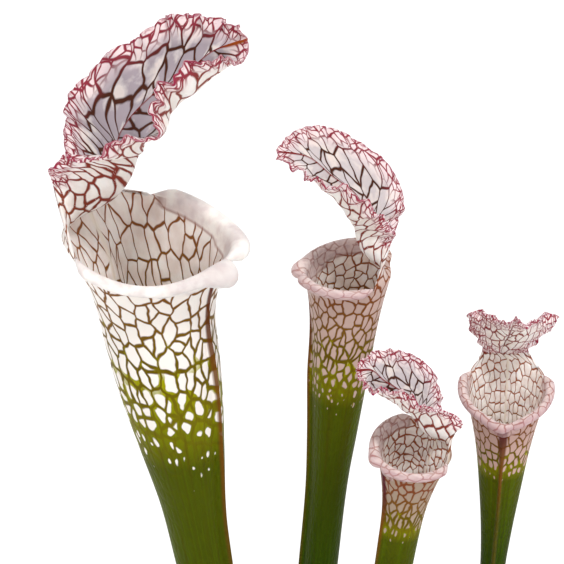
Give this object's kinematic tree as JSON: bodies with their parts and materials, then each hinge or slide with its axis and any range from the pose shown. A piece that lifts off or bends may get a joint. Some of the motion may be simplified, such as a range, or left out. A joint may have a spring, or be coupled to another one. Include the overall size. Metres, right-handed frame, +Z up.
{
  "type": "potted pitcher plant",
  "caption": "White-topped trumpet pitcher plant with tall hollow hooded leaves and frilled lids, in a round plastic nursery pot.",
  "frame": {"origin": "centre of the pot's underside", "axes": "+Z up along the plant's height; the picture looks along +Y with +X to the right"},
  "size_m": [0.1545, 0.15, 0.4695],
  "materials": {
    "pot_plastic": "matt black moulded plastic",
    "potting_mix": "damp peat crumb with perlite grains",
    "rhizome": "dull brown skin",
    "pitcher_leaf": "waxy leaf, white with red veins above and green below"
  },
  "bodies": {
    "root": {"pot": "pot_plastic", "potting_mix": "potting_mix", "rhizome": "rhizome", "pitcher_large": "pitcher_leaf", "pitcher_medium": "pitcher_leaf", "pitcher_small": "pitcher_leaf", "pitcher_front": "pitcher_leaf"}
  },
  "joints": []
}
